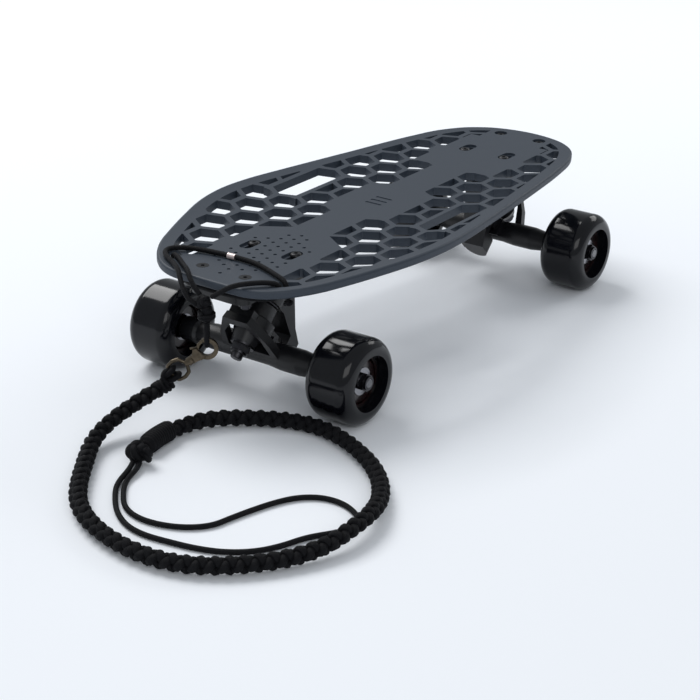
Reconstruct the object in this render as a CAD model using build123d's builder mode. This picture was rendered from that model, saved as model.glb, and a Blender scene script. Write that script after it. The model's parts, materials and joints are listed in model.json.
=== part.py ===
"""A short skateboard with a leash tied to its tail.

+X points to the nose, +Y to the left and +Z up. The floor is at z = 0, under the middle of the deck.
The deck is a concave plate with a lattice of hexagonal holes. Each truck has a slanted kingpin that
points outwards and down, and its hanger steers about the line from the pivot to the ring.
"""
import os
from math import cos, pi, radians, sin, sqrt, tan

from build123d import *

os.makedirs("parts", exist_ok=True)

# ---------------------------------------------------------------- driving sizes, in millimetres
# deck
DECK_LENGTH = 481.0
DECK_WIDTH = 227.2
DECK_THICK = 7.0
FLAT_HALF = 40.0              # half of the flat middle, past which the plate curves up
CONCAVE_RADIUS = 340.0        # of the underside
RIM_ROUND = 2.0
RIM_MARGIN = 12.0             # solid rim round the lattice
LASHING_MARGIN = 8.0          # rim left at the two tail holes that the leash passes through
HEX_FLAT = 24.75              # across the flats of a full hole
HEX_WEB = 5.0                 # web between two holes
HEX_CORNER = 1.2
LATTICE_START = 91.0          # x of the column that has a hole on the middle line
SMALLEST_HOLE = 25.0          # area of the smallest clipped hole that is kept
SPINE_HALF = 17.5
MARK_PAD = (-51.0, 27.0, 33.0)        # x from, x to, half width
NOSE_PAD = (102.0, 201.0, 41.0, 32.0)  # x from, x where it narrows, half width, narrow half width
TAIL_PAD = (-107.0, -124.0, 42.5)     # x where its taper starts, x where it is full, half width
SLOT_COLUMNS = (-37.8, 13.7)          # x of the hexagons at the two ends of a hand slot
SLOT_Y = 74.4
SLOT_GUARD = 4.6                      # solid bar on either side of a hand slot
DRAIN_HOLE = 3.0                      # diameter of the small holes over the rear truck
DRAIN_PITCH = 10.3
DRAIN_ROW = 8.93

# trucks
WHEEL_RADIUS = 35.0
WHEEL_WIDTH = 42.0
MID_X = 1.0                   # middle of the two truck patterns
PATTERN_HALF = 188.0          # from that middle to each truck's pattern
AXLE_INBOARD = 10.0           # the axle lies this far inboard of its pattern's centre
BOLT_HALF_X = 31.75
BOLT_HALF_Y = 20.65
BOLT_RADIUS = 2.4
BOLT_CLEAR = 0.3
PLATE_TOP = 67.2              # axle to the baseplate's top
PLATE_THICK = 8.0
PLATE_IN = 32.0               # the plate's reach inboard and outboard of the axle
PLATE_OUT = 52.0
PLATE_HALF = 27.0
RISER_THICK = 5.0
KINGPIN_ANGLE = 45.0
RING_OUT = 7.0                # the ring's centre, outboard of and above the axle
RING_UP = 24.0
PIVOT_DISTANCE = 42.0
KINGPIN_RADIUS = 4.76
RING_THICK = 9.0
RING_RADIUS = 17.0
RING_BORE = 7.2
BUSHING_RADIUS = 12.8
BOARDSIDE_HEIGHT = 14.0
ROADSIDE_HEIGHT = 13.0
ROADSIDE_TIP = 9.8            # the cone's small end
WASHER_THICK = 1.5
STEM_RADIUS = 5.0
CUP_WALL = 2.35
BOSS_RADIUS = 11.0
AXLE_RADIUS = 4.0
AXLE_HALF = 107.6
HANGER_HALF = 75.0
BEAM_RADIUS = 10.5
BEAM_MIDDLE = 9.4             # waisted under the road-side bushing

# wheels and bearings
SPEED_WASHER = 1.2
BEARING_RADIUS = 11.0
BEARING_WIDTH = 7.0
SPACER_LENGTH = 10.3
LIP_RADIUS = 10.0
RECESS_RADIUS = 22.5
RECESS_DEPTH = 9.0
CORE_RADIUS = 21.3
CORE_HUB = 17.0
BALL_RADIUS = 1.985
BALL_PITCH = 7.65
BALLS = 7
FIT = 0.02
GAP = 0.3

# leash
CORD = 4.0                    # thin cord's diameter
BRAID = 14.0                  # thick braid's diameter
WHIP = 16.2
KNOT_RADIUS = 6.2

# ---------------------------------------------------------------- sizes that follow
half_length = DECK_LENGTH / 2
half_width = DECK_WIDTH / 2
axle_z = WHEEL_RADIUS
deck_bottom = axle_z + PLATE_TOP + RISER_THICK
deck_top = deck_bottom + DECK_THICK
hex_radius = HEX_FLAT / sqrt(3)
row_pitch = HEX_FLAT + HEX_WEB
column_pitch = row_pitch * sqrt(3) / 2
inner_bearing = HANGER_HALF + SPEED_WASHER
outer_bearing = inner_bearing + BEARING_WIDTH + SPACER_LENGTH
bearing_end = outer_bearing + BEARING_WIDTH
wheel_middle = (inner_bearing + bearing_end) / 2
nut_start = bearing_end + SPEED_WASHER
kx, kz = cos(radians(KINGPIN_ANGLE)), -sin(radians(KINGPIN_ANGLE))
TRUCKS = (("front", 1), ("rear", -1))
SIDES = (("left", 1), ("right", -1))


def save(piece, name):
    """Label one finished piece and write it."""
    piece.part.label = name
    export_step(piece.part, f"parts/{name}.step")


def truck_x(out):
    """Where a truck's axle stands: out is 1 at the nose and -1 at the tail."""
    return MID_X + out * (PATTERN_HALF - AXLE_INBOARD)


def side_plane(out):
    """A truck's side view: outboard to the right, up is up, the axle at the origin."""
    return Plane(origin=(truck_x(out), 0, axle_z), x_dir=(out, 0, 0), z_dir=(0, -out, 0))


def place(out, u, w, y=0.0):
    """A point given outboard of, and above, a truck's axle."""
    return Vector(truck_x(out) + out * u, y, axle_z + w)


def kingpin_plane(out, along):
    """A plane across the kingpin, this far along it from the ring's centre, roadside first."""
    direction = Vector(out * kx, 0, kz)
    centre = place(out, RING_OUT, RING_UP) + direction * along
    return Plane(origin=centre, x_dir=(0, 1, 0), z_dir=direction)


def steer_plane(out, along):
    """A plane across the steering line, this far from the pivot towards the ring."""
    direction = Vector(-out * kz, 0, kx)
    pivot = place(out, RING_OUT, RING_UP) - direction * PIVOT_DISTANCE
    return Plane(origin=pivot + direction * along, x_dir=(0, 1, 0), z_dir=direction)


def axle_plane(out):
    """Sections to turn about the axle: x is the way along it, y the radius."""
    return Plane(origin=(truck_x(out), 0, axle_z), x_dir=(0, 1, 0), z_dir=(1, 0, 0))


def section(plane, corners):
    """A closed outline of straight sides."""
    with BuildSketch(plane) as shape:
        with BuildLine():
            Polyline(*corners, close=True)
        make_face()
    return shape.sketch


def disc(plane, radius, bore=0.0, offset=(0.0, 0.0)):
    """A round section, with or without a hole."""
    with BuildSketch(plane) as shape:
        with Locations(offset):
            Circle(radius)
            if bore:
                Circle(bore, mode=Mode.SUBTRACT)
    return shape.sketch


def hexagon(plane, flats, bore=0.0, centre=(0.0, 0.0)):
    """A nut's section."""
    with BuildSketch(plane) as shape:
        with Locations(centre):
            RegularPolygon(flats / sqrt(3), 6)
            if bore:
                Circle(bore, mode=Mode.SUBTRACT)
    return shape.sketch


def bolt_places(out, row):
    """The two bolts of a truck's inboard (-1) or outboard (1) row."""
    x = MID_X + out * (PATTERN_HALF + row * BOLT_HALF_X)
    return [(x, BOLT_HALF_Y), (x, -BOLT_HALF_Y)]


# ---------------------------------------------------------------- deck
# the rim's half outline, from the tail's corner to the nose, as shares of half the length and width
RIM = [
    (-1.0, 0.30), (-0.975, 0.44), (-0.923, 0.572), (-0.84, 0.695), (-0.682, 0.828),
    (-0.495, 0.958), (-0.353, 1.0), (-0.204, 0.986), (0.046, 0.911), (0.316, 0.822),
    (0.586, 0.731), (0.786, 0.638), (0.902, 0.511), (0.965, 0.352), (0.992, 0.165), (1.0, 0.0),
]


def corner_radii(corners):
    """For a closed outline, the largest arc that each corner's two sides leave room for."""
    spots = [Vector(*corner) for corner in corners]
    radii = []
    for before, spot, after in zip([spots[-1]] + spots, spots, spots[1:] + [spots[0]]):
        reach = 0.48 * min((spot - before).length, (after - spot).length)
        radii.append(reach / tan(radians((spot - before).get_angle(after - spot)) / 2))
    return radii


with BuildSketch() as plan:
    with BuildLine():
        left_rim = [(x * half_length, y * half_width) for x, y in RIM]
        right_rim = [(x, -y) for x, y in reversed(left_rim[:-1])]
        FilletPolyline(*left_rim, *right_rim, radius=corner_radii(left_rim + right_rim), close=True)
    make_face()

with BuildSketch(Plane.YZ) as concave:
    with BuildLine():
        reach = 20.0
        under = Line((0, deck_bottom), (FLAT_HALF, deck_bottom))
        curve = JernArc(under @ 1, (1, 0), CONCAVE_RADIUS, reach)
        top = Line((0, deck_top), (FLAT_HALF, deck_top))
        upper = JernArc(top @ 1, (1, 0), CONCAVE_RADIUS - DECK_THICK, reach)
        Line(curve @ 1, upper @ 1)
        Line((0, deck_bottom), (0, deck_top))
    make_face()
    mirror(about=Plane.YZ)

# where holes may be on the left half: inside the rim, clear of the spine, the pads and the slot
slot_middle = sum(SLOT_COLUMNS) / 2
slot_reach = (SLOT_COLUMNS[1] - SLOT_COLUMNS[0]) / 2 + hex_radius
slot_side = HEX_FLAT / 2
solid_areas = [
    [(-half_length, 0), (half_length, 0), (half_length, SPINE_HALF), (-half_length, SPINE_HALF)],
    [(MARK_PAD[0], 0), (MARK_PAD[1], 0), (MARK_PAD[1], MARK_PAD[2]), (MARK_PAD[0], MARK_PAD[2])],
    [
        (NOSE_PAD[0], 0), (NOSE_PAD[0], NOSE_PAD[2]), (NOSE_PAD[1], NOSE_PAD[2]),
        (NOSE_PAD[1], NOSE_PAD[3]), (half_length, NOSE_PAD[3]), (half_length, 0),
    ],
    [
        (TAIL_PAD[0], 0), (TAIL_PAD[0], SPINE_HALF), (TAIL_PAD[1], TAIL_PAD[2]),
        (-half_length, TAIL_PAD[2]), (-half_length, 0),
    ],
    [
        (slot_middle + x * slot_reach, SLOT_Y + y * (slot_side + SLOT_GUARD))
        for x, y in ((-1, -1), (1, -1), (1, 1), (-1, 1))
    ],
]


def rim_inset(margin):
    """The deck's plan drawn in by a margin, without its right half."""
    with BuildSketch() as area:
        add(plan.sketch)
        offset(amount=-margin)
        with Locations((0, -half_width)):
            Rectangle(2 * DECK_LENGTH, DECK_WIDTH, mode=Mode.SUBTRACT)
    return area.sketch


with BuildSketch() as lattice_area:
    add(rim_inset(RIM_MARGIN))
    for corners in solid_areas:
        add(section(Plane.XY, corners), mode=Mode.SUBTRACT)

first_column = -int((half_length - LATTICE_START) / column_pitch)
tail_column = int((half_length + LATTICE_START) / column_pitch)
hole_centres = [
    (LATTICE_START - column * column_pitch, (row + column % 2 / 2) * row_pitch)
    for column in range(first_column, tail_column)
    for row in range(5)
]
tail_hole = (LATTICE_START - tail_column * column_pitch, 2 * row_pitch)

with BuildSketch() as clipped:
    with Locations(*hole_centres):
        RegularPolygon(hex_radius, 6)
    fillet(clipped.vertices(), HEX_CORNER)
    add(lattice_area.sketch, mode=Mode.INTERSECT)

with BuildSketch() as lashing_hole:
    with Locations(tail_hole):
        RegularPolygon(hex_radius, 6)
    fillet(lashing_hole.vertices(), HEX_CORNER)
    add(rim_inset(LASHING_MARGIN), mode=Mode.INTERSECT)

with BuildSketch() as hand_slot:
    with BuildLine():
        Polyline(
            *[
                (x + side * dx * hex_radius, SLOT_Y + dy * slot_side)
                for x, side, steps in (
                    (SLOT_COLUMNS[0], -1, ((0.5, -1), (1, 0), (0.5, 1))),
                    (SLOT_COLUMNS[1], 1, ((0.5, 1), (1, 0), (0.5, -1))),
                )
                for dx, dy in steps
            ],
            close=True,
        )
    make_face()
    fillet(hand_slot.vertices(), HEX_CORNER)

with BuildSketch() as holes:
    add([face for face in clipped.faces() if face.area > SMALLEST_HOLE])
    add(lashing_hole.sketch)
    add(hand_slot.sketch)
    mirror(about=Plane.XZ)

# the field of small holes over the rear truck, clear of its bolts
DRAIN_ROWS = (51.5, 46.4, 41.0, 36.0)      # half length of each row, from the middle one outwards
DRAIN_MIDDLE = -171.7
BOLT_KEEP = 14.0
SLOT_LENGTH = 21.0
SLOT_WIDTH = 11.0
SLOT_DEPTH = 2.2
SLOT_SHIFT = 5.0                          # the slots run outboard of their bolts
SINK_RADIUS = 6.0
SINK_DEPTH = 4.0


def drain_places():
    """Centres of the small holes."""
    places = []
    for row in range(-3, 4):
        shift = DRAIN_PITCH / 2 * (row % 2)
        for step in range(-5, 6):
            x, y = step * DRAIN_PITCH + shift, row * DRAIN_ROW
            if abs(x) > DRAIN_ROWS[abs(row)]:
                continue
            x += DRAIN_MIDDLE
            clear = True
            for bolt_x, bolt_y in bolt_places(-1, 1):
                clear = clear and (x - bolt_x) ** 2 + (y - bolt_y) ** 2 > BOLT_KEEP**2
            for bolt_x, bolt_y in bolt_places(-1, -1):
                near_x = abs(x - bolt_x + SLOT_SHIFT) < SLOT_LENGTH / 2 + DRAIN_HOLE
                clear = clear and not (near_x and abs(y - bolt_y) < SLOT_WIDTH / 2 + DRAIN_HOLE / 1.2)
            if clear:
                places.append((x, y))
    return places


slots = [
    (x + out * SLOT_SHIFT, y) for _, out in TRUCKS for x, y in bolt_places(out, -1)
]
with BuildPart() as deck:
    add(extrude(concave.sketch, amount=half_length, both=True, mode=Mode.PRIVATE))
    extrude(plan.sketch, amount=2 * deck_top, mode=Mode.INTERSECT)
    walls = [face for face in deck.faces() if abs(face.normal_at().Z) < 0.2]
    rim_edges = [
        edge for wall in walls for edge in wall.edges() if abs(edge.tangent_at(0.5).Z) < 0.5
    ]
    fillet(rim_edges, RIM_ROUND)
    extrude(holes.sketch, amount=2 * deck_top, mode=Mode.SUBTRACT)
    with BuildSketch() as bolt_holes:
        for _, out in TRUCKS:
            with Locations(*bolt_places(out, 1)):
                Circle(BOLT_RADIUS + BOLT_CLEAR)
        with Locations(*slots):
            SlotOverall(SLOT_LENGTH - 2 * SLOT_DEPTH, 2 * (BOLT_RADIUS + BOLT_CLEAR))
        with Locations(*drain_places()):
            Circle(DRAIN_HOLE / 2)
    extrude(amount=2 * deck_top, mode=Mode.SUBTRACT)
    with BuildSketch(Plane.XY.offset(deck_top)) as recesses:
        with Locations(*slots):
            SlotOverall(SLOT_LENGTH, SLOT_WIDTH)
    extrude(amount=-SLOT_DEPTH, mode=Mode.SUBTRACT)
    with BuildSketch(Plane.XY.offset(deck_top)) as sinks:
        with Locations(*bolt_places(1, 1)):
            Circle(SINK_RADIUS)
    extrude(amount=-SINK_DEPTH, mode=Mode.SUBTRACT)
    with BuildSketch(Plane.XY.offset(deck_top)) as cones:
        with Locations(*bolt_places(-1, 1)):
            Circle(2 * BOLT_RADIUS + BOLT_CLEAR)
    extrude(amount=-BOLT_RADIUS, taper=45, mode=Mode.SUBTRACT)
    with BuildSketch(Plane.XY.offset(deck_top)) as mark:
        with Locations(*[(x, 0) for x in (-20, -12, -4)]):
            SlotOverall(16, 3, rotation=90)
    extrude(amount=-0.6, mode=Mode.SUBTRACT)
save(deck, "deck")
print("deck", round(deck.part.volume), "mm3, holes", len(holes.faces()) + len(drain_places()))


# ---------------------------------------------------------------- truck bolts and nuts
BUTTON_RADIUS = 4.75
BUTTON_HEIGHT = 2.8
HEX_SOCKET = 3.0
NUT_FLATS = 8.0
NUT_HEIGHT = 5.0
plate_bottom = axle_z + PLATE_TOP - PLATE_THICK
plate_top = axle_z + PLATE_TOP
bolt_end = plate_bottom - NUT_HEIGHT - 1.0


def bolt(x, y, seat, head_radius, head_height, countersunk=False):
    """One truck bolt with a hex socket, whose head rests on the seat's height."""
    head = Plane.XY.offset(seat)
    centre = [(x, y)]
    with BuildPart() as piece:
        with BuildSketch(head):
            with Locations(centre):
                Circle(BOLT_RADIUS)
        extrude(amount=bolt_end - seat)
        with BuildSketch(head):
            with Locations(centre):
                Circle(BOLT_RADIUS if countersunk else head_radius)
        if countersunk:
            extrude(amount=head_height, taper=-45)
        else:
            extrude(amount=head_height)
            fillet(piece.faces().sort_by(Axis.Z)[-1].edges(), head_height * 0.7)
        with BuildSketch(head.offset(head_height)):
            with Locations(centre):
                RegularPolygon(HEX_SOCKET / sqrt(3), 6)
        extrude(amount=-head_height * 0.7, mode=Mode.SUBTRACT)
    return piece.part


with BuildPart() as button_bolts:
    for _, out in TRUCKS:
        for x, y in bolt_places(out, -1):
            add(bolt(x, y, deck_top - SLOT_DEPTH, BUTTON_RADIUS, BUTTON_HEIGHT))
save(button_bolts, "button_bolts")

with BuildPart() as flush_bolts:
    for x, y in bolt_places(1, 1):
        add(bolt(x, y, deck_top - SINK_DEPTH, BUTTON_RADIUS, BUTTON_HEIGHT))
    for x, y in bolt_places(-1, 1):
        add(bolt(x, y, deck_top - BOLT_RADIUS, BUTTON_RADIUS, BOLT_RADIUS, countersunk=True))
save(flush_bolts, "flush_bolts")

all_bolts = [spot for _, out in TRUCKS for row in (-1, 1) for spot in bolt_places(out, row)]
with BuildPart() as lock_nuts:
    with BuildSketch(Plane.XY.offset(plate_bottom)):
        with Locations(*all_bolts):
            RegularPolygon(NUT_FLATS / sqrt(3), 6)
            Circle(BOLT_RADIUS + FIT, mode=Mode.SUBTRACT)
    extrude(amount=-NUT_HEIGHT * 0.75)
    with BuildSketch(Plane.XY.offset(plate_bottom - NUT_HEIGHT * 0.75)):
        with Locations(*all_bolts):
            Circle(NUT_FLATS / 2 - 0.4)
            Circle(BOLT_RADIUS + FIT, mode=Mode.SUBTRACT)
    extrude(amount=-NUT_HEIGHT * 0.25)
save(lock_nuts, "lock_nuts")

# ---------------------------------------------------------------- trucks
SEAT_DEPTH = RING_THICK / 2 + GAP + BOARDSIDE_HEIGHT + WASHER_THICK   # ring's centre to the seat
ROADSIDE_END = RING_THICK / 2 + GAP + ROADSIDE_HEIGHT
HEAD_FLATS = 14.3
HEAD_SEAT = 38.0
HEAD_HEIGHT = 6.0
KINGPIN_NUT = 7.0
KINGPIN_TIP = 31.0
SEAT_RADIUS = 14.5
BLOCK_HALF = 12.0
BOSS_BACK = 9.5
BOSS_FRONT = 5.0
cup_bore = STEM_RADIUS + 0.25
cup_radius = cup_bore + CUP_WALL
cup_floor = cup_bore + 0.75
AXLE_NUT_FLATS = 13.0
AXLE_NUT_HEX = 3.6
AXLE_NUT_LENGTH = 5.5
LEG_HALF_THICK = 3.5
APEX_OUT, APEX_UP = 25.0, 34.0
LEG_FOOT_OUT, LEG_FOOT_UP = 5.0, 0.0


def leg_plane(out):
    """The hanger's yoke as seen square on: across is Y, and y runs down from its apex."""
    down = Vector(out * (LEG_FOOT_OUT - APEX_OUT), 0, LEG_FOOT_UP - APEX_UP).normalized()
    across = Vector(0, 1, 0)
    return Plane(origin=place(out, APEX_OUT, APEX_UP), x_dir=across, z_dir=across.cross(down))


def boss_corner(reach, offset):
    """A point beside the pivot in the side view: along the steering line, and off it."""
    pivot_u, pivot_w = RING_OUT + kz * PIVOT_DISTANCE, RING_UP - kx * PIVOT_DISTANCE
    return (pivot_u - kz * reach - kx * offset, pivot_w + kx * reach - kz * offset)


def both_sides(half):
    """Close an outline from its left half, given as (across, down) points."""
    return half + [(-x, y) for x, y in reversed(half)]


for name, out in TRUCKS:
    side = side_plane(out)
    centre_x = MID_X + out * PATTERN_HALF
    pattern = [spot for row in (-1, 1) for spot in bolt_places(out, row)]
    kingpin_axis = Axis(kingpin_plane(out, 0).origin, kingpin_plane(out, 0).z_dir)
    steer_axis = Axis(steer_plane(out, 0).origin, steer_plane(out, 0).z_dir)
    axle_axis = Axis((truck_x(out), 0, axle_z), (0, 1, 0))
    plate_middle = truck_x(out) + out * (PLATE_OUT - PLATE_IN) / 2

    with BuildPart() as riser:
        with BuildSketch(Plane.XY.offset(plate_top)):
            with Locations((plate_middle, 0)):
                RectangleRounded(PLATE_IN + PLATE_OUT, 2 * PLATE_HALF, 8)
            with Locations(*pattern):
                Circle(BOLT_RADIUS + BOLT_CLEAR, mode=Mode.SUBTRACT)
        extrude(amount=RISER_THICK)
    save(riser, f"{name}_riser")

    # the seat's middle, its two ends and the boss, in the truck's side view
    seat_u, seat_w = RING_OUT - kx * SEAT_DEPTH, RING_UP - kz * SEAT_DEPTH
    with BuildPart() as baseplate:
        with BuildSketch(Plane.XY.offset(plate_bottom)):
            with Locations((plate_middle, 0)):
                RectangleRounded(PLATE_IN + PLATE_OUT, 2 * PLATE_HALF, 8)
        extrude(amount=PLATE_THICK)
        block = section(side, [
            (-PLATE_IN + 1, PLATE_TOP - 4), (22, PLATE_TOP - 4), (14, PLATE_TOP - PLATE_THICK - 2),
            (seat_u - kz * SEAT_RADIUS, seat_w + kx * SEAT_RADIUS),
            (seat_u + kz * SEAT_RADIUS, seat_w - kx * SEAT_RADIUS),
            boss_corner(BOSS_FRONT, BOSS_RADIUS), boss_corner(BOSS_FRONT, 0),
            boss_corner(-BOSS_BACK, 0), boss_corner(-BOSS_BACK, BOSS_RADIUS),
            (-PLATE_IN - 1, 10),
        ])
        extrude(block, amount=BLOCK_HALF, both=True)
        ribs = section(side, [
            (4, PLATE_TOP - 4), (PLATE_OUT - 6, PLATE_TOP - 4), (PLATE_OUT - 6, PLATE_TOP - PLATE_THICK - 1),
            (10, PLATE_TOP - PLATE_THICK - 8), (0, PLATE_TOP - PLATE_THICK - 12),
        ])
        extrude(ribs, amount=BLOCK_HALF - 2, both=True)
        groove = section(side, [
            (6, PLATE_TOP - 8.5), (PLATE_OUT, PLATE_TOP - 8.5), (PLATE_OUT, 0), (6, 0),
        ])
        extrude(groove, amount=BLOCK_HALF - 5, both=True, mode=Mode.SUBTRACT)
        extrude(disc(kingpin_plane(out, -SEAT_DEPTH), SEAT_RADIUS), amount=-8)
        extrude(disc(steer_plane(out, BOSS_FRONT), BOSS_RADIUS), amount=-BOSS_FRONT - BOSS_BACK)
        extrude(disc(kingpin_plane(out, 0), KINGPIN_RADIUS + FIT), amount=-60, mode=Mode.SUBTRACT)
        pocket = disc(kingpin_plane(out, -HEAD_SEAT), HEAD_FLATS / sqrt(3) + 0.4)
        extrude(pocket, amount=-40, mode=Mode.SUBTRACT)
        cup_hole = disc(steer_plane(out, BOSS_FRONT), cup_radius)
        extrude(cup_hole, amount=-BOSS_FRONT - cup_floor, mode=Mode.SUBTRACT)
        with BuildSketch(Plane.XY.offset(plate_bottom - 20)) as bolt_bores:
            with Locations(*pattern):
                Circle(BOLT_RADIUS + BOLT_CLEAR)
        extrude(amount=PLATE_THICK + 20, mode=Mode.SUBTRACT)
    save(baseplate, f"{name}_baseplate")

    with BuildPart() as pivot_cup:
        extrude(disc(steer_plane(out, -cup_floor), cup_radius - FIT), amount=cup_floor + BOSS_FRONT + 1)
        extrude(disc(steer_plane(out, 0), cup_bore), amount=BOSS_FRONT + 2, mode=Mode.SUBTRACT)
        with Locations(steer_plane(out, 0).origin):
            Sphere(cup_bore, mode=Mode.SUBTRACT)
    save(pivot_cup, f"{name}_pivot_cup")

    with BuildPart() as kingpin:
        extrude(disc(kingpin_plane(out, -HEAD_SEAT), KINGPIN_RADIUS), amount=HEAD_SEAT + KINGPIN_TIP)
        extrude(hexagon(kingpin_plane(out, -HEAD_SEAT), HEAD_FLATS), amount=-HEAD_HEIGHT)
        chamfer(kingpin.edges().sort_by(kingpin_axis)[-1], 0.8)
    save(kingpin, f"{name}_kingpin")

    with BuildPart() as kingpin_nut:
        nut_seat = kingpin_plane(out, ROADSIDE_END + WASHER_THICK)
        extrude(hexagon(nut_seat, HEAD_FLATS, KINGPIN_RADIUS + FIT), amount=KINGPIN_NUT * 0.75)
        collar = disc(kingpin_plane(out, ROADSIDE_END + WASHER_THICK + KINGPIN_NUT * 0.75), 6.4, 4.78)
        extrude(collar, amount=KINGPIN_NUT * 0.25)
    save(kingpin_nut, f"{name}_kingpin_nut")

    with BuildPart() as boardside:
        base = kingpin_plane(out, -RING_THICK / 2 - GAP)
        extrude(disc(base, BUSHING_RADIUS, KINGPIN_RADIUS + GAP), amount=-BOARDSIDE_HEIGHT)
        chamfer(boardside.edges().group_by(SortBy.LENGTH)[-1], 1.5)
    save(boardside, f"{name}_bushing_boardside")

    with BuildPart() as roadside:
        cone = section(
            Plane(origin=kingpin_axis.position, x_dir=kingpin_axis.direction, z_dir=(0, 1, 0)),
            [
                (RING_THICK / 2 + GAP, KINGPIN_RADIUS + GAP), (RING_THICK / 2 + GAP, BUSHING_RADIUS),
                (RING_THICK / 2 + GAP + 3, BUSHING_RADIUS), (ROADSIDE_END, ROADSIDE_TIP),
                (ROADSIDE_END, KINGPIN_RADIUS + GAP),
            ],
        )
        revolve(cone, axis=kingpin_axis)
    save(roadside, f"{name}_bushing_roadside")

    with BuildPart() as bushing_washers:
        seat_washer = disc(kingpin_plane(out, -SEAT_DEPTH), BUSHING_RADIUS, KINGPIN_RADIUS + FIT)
        extrude(seat_washer, amount=WASHER_THICK)
        end_washer = disc(kingpin_plane(out, ROADSIDE_END), ROADSIDE_TIP, KINGPIN_RADIUS + FIT)
        extrude(end_washer, amount=WASHER_THICK)
    save(bushing_washers, f"{name}_bushing_washers")

    with BuildPart() as hanger:
        # in this plane x is across, and y runs along the steering line
        ring_plane = kingpin_plane(out, -RING_THICK / 2)
        with BuildSketch(ring_plane) as ring:
            Circle(RING_RADIUS)
            toward = 1 if ring_plane.y_dir.Z > 0 else -1
            add(section(Plane.XY, [(x, y * toward) for x, y in both_sides([
                (11, 21), (11, 0), (9, -PIVOT_DISTANCE + 15),
            ])]))
            Circle(RING_BORE, mode=Mode.SUBTRACT)
        extrude(amount=RING_THICK)
        yoke = section(leg_plane(out), both_sides([(12, -3), (23.5, 19), (29, 40)]))
        window = section(leg_plane(out), both_sides([(8, 4), (17.5, 16), (20.5, 33)]))
        extrude(yoke, amount=LEG_HALF_THICK, both=True)
        extrude(window, amount=2 * LEG_HALF_THICK, both=True, mode=Mode.SUBTRACT)
        outline = [(HANGER_HALF, 0), (HANGER_HALF, 8.4), (HANGER_HALF - 2, 10), (60, 10), (57, 8.8),
                   (44, BEAM_RADIUS), (26, BEAM_RADIUS), (14, BEAM_MIDDLE)]
        beam = section(axle_plane(out), outline + [(-y, r) for y, r in reversed(outline)])
        revolve(beam, axis=axle_axis)
        gusset = section(side, [(-15, 1), (-4, 13), (0, 9), (3, -8)])
        extrude(gusset, amount=13, both=True)
        extrude(disc(steer_plane(out, 0), STEM_RADIUS), amount=20)
        with Locations(steer_plane(out, 0).origin):
            Sphere(STEM_RADIUS)
        extrude(disc(kingpin_plane(out, -10), RING_BORE), amount=20, mode=Mode.SUBTRACT)
        bore = disc(Plane(origin=(truck_x(out), -HANGER_HALF - 5, axle_z), z_dir=(0, 1, 0)), AXLE_RADIUS + FIT)
        extrude(bore, amount=2 * HANGER_HALF + 10, mode=Mode.SUBTRACT)
    save(hanger, f"{name}_hanger")

    def across(y):
        """A plane across this truck's axle, facing left."""
        return Plane(origin=(truck_x(out), y, axle_z), z_dir=(0, 1, 0))

    with BuildPart() as axle:
        extrude(disc(across(-AXLE_HALF), AXLE_RADIUS), amount=2 * AXLE_HALF)
        chamfer(axle.edges().filter_by(GeomType.CIRCLE), 0.6)
    save(axle, f"{name}_axle")

    with BuildPart() as axle_nuts:
        for _, hand in SIDES:
            extrude(hexagon(across(hand * nut_start), AXLE_NUT_FLATS, AXLE_RADIUS + FIT), amount=hand * AXLE_NUT_HEX)
            end = disc(across(hand * (nut_start + AXLE_NUT_HEX)), 5.6, AXLE_RADIUS + FIT)
            extrude(end, amount=hand * (AXLE_NUT_LENGTH - AXLE_NUT_HEX))
    save(axle_nuts, f"{name}_axle_nuts")

    with BuildPart() as speed_washers:
        for _, hand in SIDES:
            for start in (HANGER_HALF, bearing_end):
                extrude(disc(across(hand * start), 6.0, AXLE_RADIUS + FIT), amount=hand * SPEED_WASHER)
    save(speed_washers, f"{name}_speed_washers")

    with BuildPart() as bearing_spacers:
        for _, hand in SIDES:
            start = hand * (inner_bearing + BEARING_WIDTH)
            extrude(disc(across(start), 5.6, AXLE_RADIUS + FIT), amount=hand * SPACER_LENGTH)
    save(bearing_spacers, f"{name}_bearing_spacers")

    bearing_starts = [
        (hand, start) for _, hand in SIDES for start in (inner_bearing, outer_bearing)
    ]
    with BuildPart() as bearing_inners:
        for hand, start in bearing_starts:
            middle = hand * (start + BEARING_WIDTH / 2)
            with BuildSketch(axle_plane(out)) as race:
                with Locations((middle, 5.05)):
                    Rectangle(BEARING_WIDTH, 2.1)
                with Locations((middle, BALL_PITCH)):
                    Circle(BALL_RADIUS + 0.045, mode=Mode.SUBTRACT)
            revolve(axis=axle_axis)
    save(bearing_inners, f"{name}_bearing_inners")

    with BuildPart() as bearing_balls:
        for hand, start in bearing_starts:
            y = hand * (start + BEARING_WIDTH / 2)
            for ball in range(BALLS):
                turn = 2 * pi * ball / BALLS
                spot = (truck_x(out) + BALL_PITCH * cos(turn), y, axle_z + BALL_PITCH * sin(turn))
                with Locations(spot):
                    Sphere(BALL_RADIUS)
    save(bearing_balls, f"{name}_bearing_balls")

    # ------------------------------------------------------------ the truck's two wheels
    for hand_name, hand in SIDES:
        wheel = f"{name}_{hand_name}"
        near, far = wheel_middle - WHEEL_WIDTH / 2, wheel_middle + WHEEL_WIDTH / 2

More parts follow.
